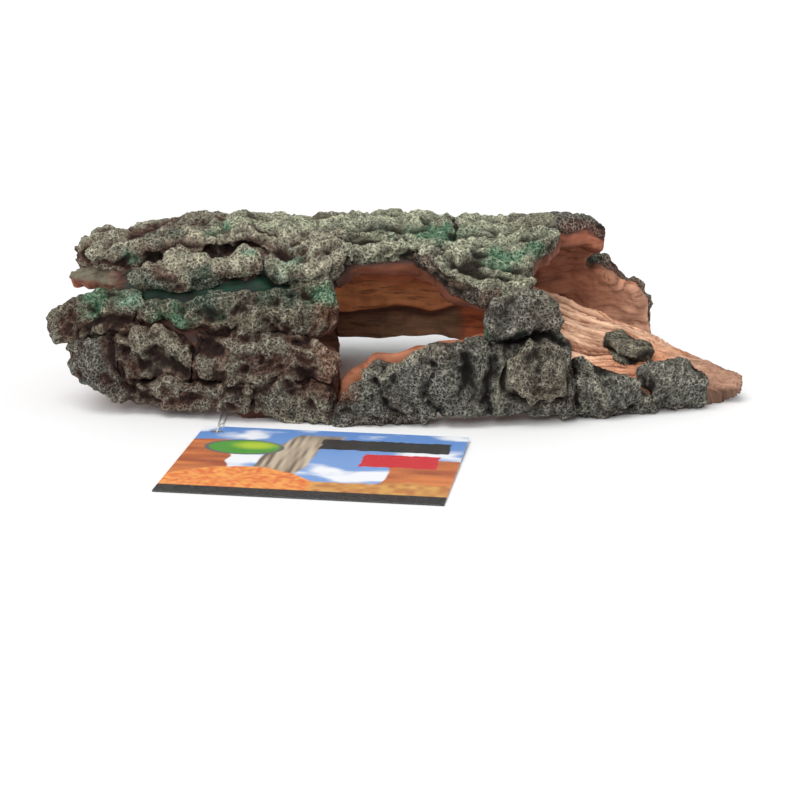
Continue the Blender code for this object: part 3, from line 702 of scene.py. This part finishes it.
# dark and light tones of what the print shows
ROCK_TONES, GROUND_TONES = ((150, 66, 30), (224, 130, 62)), ((176, 96, 44), (222, 168, 84))
TRUNK_TONES, DUNE_TONES = ((92, 74, 58), (214, 196, 170)), ((222, 92, 40), (250, 176, 84))
BUTTES = ((3, 10, 50), (77, 9, 33), (84, 4, 39))        # centre, half width and top
OVAL_RIM, OVAL_FIELD, OVAL_SHINE = (96, 98, 96), (70, 152, 44), (196, 214, 40)
# blank labels: left, right, bottom, top and colour
LABELS = ((42, 83.5, 45.5, 55.5, (24, 24, 24)), (57.5, 81.5, 30.5, 42.5, (206, 22, 38)))
STRIP = (18, 15, 14)


def grained(tones, amount):
    """Linear colours from the first tone to the second."""
    return blend_paint(linear(tones[0]), tones[1], amount)


def tag_print(u, v):
    """The card's printed picture, u and v in mm from its lower left corner: a plain desert view."""
    p = np.column_stack([u, v, np.zeros(len(u))])
    paint = np.tile(linear(SKY_LOW), (len(u), 1))
    paint = blend_paint(paint, SKY_HIGH, step(30, 64, v))
    clouds = fractal(p * (0.6, 1, 1), 11, 4, 51)
    paint = blend_paint(paint, CLOUD, step(0.1, 0.9, clouds + 0.7 * step(45, 20, v)))
    rock = grained(ROCK_TONES, 0.5 + 0.5 * noise(p * (0.15, 1, 1), 2.4, 52))
    for centre, half, top in BUTTES:
        edge = np.abs(u - centre) + 1.6 * noise(p, 5, 53) - 0.12 * (top - v)
        below = step(top + 0.3, top - 0.3, v + 1.3 * noise(p, 6, 54))
        paint = cover(paint, rock, step(half + 0.3, half - 0.3, edge) * below)
    scrub = step(15, 13, v - 1.5 * noise(p, 4, 55) - 0.06 * np.abs(u - 40))
    paint = cover(paint, grained(GROUND_TONES, 0.5 + 0.5 * noise(p, 2.2, 56)), scrub)
    trunk = step(7.5, 6.5, np.abs(u - 33 - 0.28 * (v - 30) + 3 * noise(p, 9, 57)))
    trunk *= step(60, 57, v)
    paint = cover(paint, grained(TRUNK_TONES, 0.5 + 0.5 * noise(p * (1, 0.12, 1), 1.2, 58)), trunk)
    hump = 26 - 0.02 * (u - 22) ** 2 + 1.2 * noise(p, 6, 59)
    dune = step(hump + 0.3, hump - 0.3, v) * step(48, 44, u)
    paint = cover(paint, grained(DUNE_TONES, 0.5 + 0.5 * noise(p, 1.2, 60)), dune)

    oval = np.hypot((u - 18) / 13, (v - 44) / 7.4)
    shine = np.hypot((u - 21) / 13, (v - 46) / 7)
    paint = blend_paint(paint, OVAL_RIM, step(1.02, 0.98, oval))
    paint = blend_paint(paint, OVAL_FIELD, step(0.9, 0.86, oval))
    paint = blend_paint(paint, OVAL_SHINE, 0.8 * step(0.75, 0.2, shine))
    ragged = 0.5 * noise(p, 1.6, 61)
    for left, right, bottom, top, colour in LABELS:
        within_u = step(left - 0.2, left + 0.2, u + ragged) * step(right + 0.2, right - 0.2, u + ragged)
        within_v = step(bottom - 0.2, bottom + 0.2, v + ragged) * step(top + 0.2, top - 0.2, v + ragged)
        paint = blend_paint(paint, colour, within_u * within_v)
    return blend_paint(paint, STRIP, step(6.2, 6.0, v))


def tag_piece(material):
    """The card: a fine printed face with a round hole, a rim the card's thickness, and a back."""
    width, height = TAG_SIZE
    bm = bmesh.new()
    bmesh.ops.create_grid(bm, x_segments=int(width / TAG_GRID),
                          y_segments=int(height / TAG_GRID), size=0.5)
    for vert in bm.verts:
        vert.co = ((vert.co.x + 0.5) * width, (vert.co.y + 0.5) * height, TAG_THICKNESS)
    hole = np.array([TAG_HOLE_AT[0], height - TAG_HOLE_AT[1]])
    near = [f for f in bm.faces
            if np.hypot(*(np.array(f.calc_center_median()[:2]) - hole)) < TAG_HOLE_RADIUS]
    bmesh.ops.delete(bm, geom=near, context="FACES")
    for vert in bm.verts:                                   # round off the hole's stepped edge
        away = np.array(vert.co[:2]) - hole
        distance = float(np.hypot(*away))
        if vert.is_boundary and distance < TAG_HOLE_RADIUS * 1.6:
            vert.co.x, vert.co.y = hole + away * TAG_HOLE_RADIUS / distance
    rim = bmesh.ops.extrude_edge_only(bm, edges=[e for e in bm.edges if e.is_boundary])["geom"]
    for vert in (v for v in rim if isinstance(v, bmesh.types.BMVert)):
        vert.co.z = 0
    lower_edges = [e for e in rim if isinstance(e, bmesh.types.BMEdge)]
    bmesh.ops.triangle_fill(bm, use_beauty=True, edges=lower_edges)
    bmesh.ops.recalc_face_normals(bm, faces=bm.faces[:])
    mesh = bpy.data.meshes.new("tag_card_print")
    bm.to_mesh(mesh)
    bm.free()
    flat = read_points(mesh) * MM
    store(mesh, "paint", np.clip(tag_print(flat[:, 0], flat[:, 1]), 0, 1))

    turn = np.array([[math.cos(TAG_TURN), -math.sin(TAG_TURN), 0],
                     [math.sin(TAG_TURN), math.cos(TAG_TURN), 0], [0, 0, 1]])
    tilt = np.array([[1, 0, 0], [0, math.cos(TAG_TILT), -math.sin(TAG_TILT)],
                     [0, math.sin(TAG_TILT), math.cos(TAG_TILT)]])
    pivot = np.array(frame["joints"][0]["pos_m"]) / MM
    lift = (height - TAG_HOLE_AT[1]) * math.sin(TAG_TILT)
    placed = (flat - (*hole, 0)) @ tilt.T @ turn.T + pivot + (0, 0, lift)
    mesh.materials.append(material)
    write_points(mesh, placed)
    return place(bpy.data.objects.new("tag_card_printed", mesh), "tag", "tag_card")


def thread_curve(material):
    """The thread's loop, on the same smooth curve as the CAD tube."""
    route = np.array(THREAD_ROUTE) + (*LOG_PLACE, 0)

    def slope(i):
        a, b = max(i - 1, 0), min(i + 1, len(route) - 1)
        return (route[b] - route[a]) / (b - a)

    points = []
    for i in range(len(route) - 1):
        pieces = max(3, round(float(np.linalg.norm(route[i + 1] - route[i])) / THREAD_STEP))
        for k in range(pieces):
            t = k / pieces
            points.append((2 * t**3 - 3 * t**2 + 1) * route[i] + (t**3 - 2 * t**2 + t) * slope(i)
                          + (3 * t**2 - 2 * t**3) * route[i + 1] + (t**3 - t**2) * slope(i + 1))
    points.append(route[-1])
    curve = bpy.data.curves.new("tag_thread_loop", "CURVE")
    curve.dimensions = "3D"
    curve.bevel_depth = THREAD_DIAMETER / 2 * MM
    curve.bevel_resolution = 3
    curve.use_fill_caps = True
    spline = curve.splines.new("POLY")
    spline.points.add(len(points) - 1)
    for target, p in zip(spline.points, points):
        target.co = (*(p * MM), 1)
    curve.materials.append(material)
    length = float(np.linalg.norm(np.diff(points, axis=0), axis=1).sum()) * MM
    thread = place(bpy.data.objects.new("tag_thread_loop", curve), "ornament", "tag_thread")
    return thread, tuple(float(c) * MM for c in route[0]), length


def glue_dab(material):
    mesh = voxel_copy("thread_anchor", GLUE_VOXEL, 3)
    points, normals = read_points(mesh), read_normals(mesh)
    write_points(mesh, points + normals * (0.25 * fractal(points, 2.5, 2, 81))[:, None])
    mesh.materials.append(material)
    mesh.shade_smooth()
    return place(bpy.data.objects.new("thread_anchor_dab", mesh), "ornament", "thread_anchor")


# ---- stage ------------------------------------------------------------------------------------
FLOOR_SIZE, FLOOR_DROP = 6, 0.0001      # in metres, just under the ornament's feet
WORLD_STRENGTH = 0.55
# each sun's turn in degrees, strength, and softness in degrees
SUNS = {"overhead": ((22, -16, 0), 1.8, 40), "front": ((62, 0, -12), 1.3, 25)}


def add_camera():
    camera = bpy.data.objects.new("camera", bpy.data.cameras.new("camera"))
    bpy.context.scene.collection.objects.link(camera)
    camera.data.lens, camera.data.sensor_width = CAMERA_LENS, SENSOR_WIDTH
    camera.data.clip_start = 0.01
    back, up = math.cos(CAMERA_ELEVATION), math.sin(CAMERA_ELEVATION)
    x, y, z = CAMERA_TARGET
    camera.location = (x, y - CAMERA_DISTANCE * back, z + CAMERA_DISTANCE * up)
    camera.rotation_euler = (math.pi / 2 - CAMERA_ELEVATION, 0, 0)
    bpy.context.scene.camera = camera


def add_sun(name, turn_degrees, strength, softness):
    light = bpy.data.lights.new(name, "SUN")
    light.energy, light.angle = strength, math.radians(softness)
    obj = bpy.data.objects.new(name, light)
    bpy.context.scene.collection.objects.link(obj)
    obj.rotation_euler = [math.radians(a) for a in turn_degrees]


def add_stage():
    bpy.ops.mesh.primitive_plane_add(size=FLOOR_SIZE, location=(0, 0, -FLOOR_DROP))
    floor = bpy.context.object
    floor.name = "floor"
    floor.data.materials.append(floor_material())
    world = bpy.data.worlds.new("studio")
    world.use_nodes = True
    background = world.node_tree.nodes["Background"]
    background.inputs["Color"].default_value = (1, 1, 1, 1)
    background.inputs["Strength"].default_value = WORLD_STRENGTH
    bpy.context.scene.world = world
    bpy.context.scene.view_settings.view_transform = "Standard"
    for name, (turn, strength, softness) in SUNS.items():
        add_sun(name, turn, strength, softness)


# ---- build ------------------------------------------------------------------------------------
add_camera()
thread, thread_exit, thread_length = thread_curve(thread_material())
card = tag_piece(printed_card_material())
glue_dab(glue_material())
add_stage()

bark_resin = bark_material()
shell_resin = wood_material("resin_shell_wood", SHELL_GROOVE_TINT, SHELL_FIBRE_TINT, 0.35)
heart_resin = wood_material("resin_heartwood", HEART_GROOVE_TINT, HEART_FIBRE_TINT, 0.8)
for node, tone in BARK_TONES.items():
    bark_piece(node, tone, bark_resin)
for node in WOOD_NODES:
    wood_piece(node, shell_resin)
ramp_piece(heart_resin)
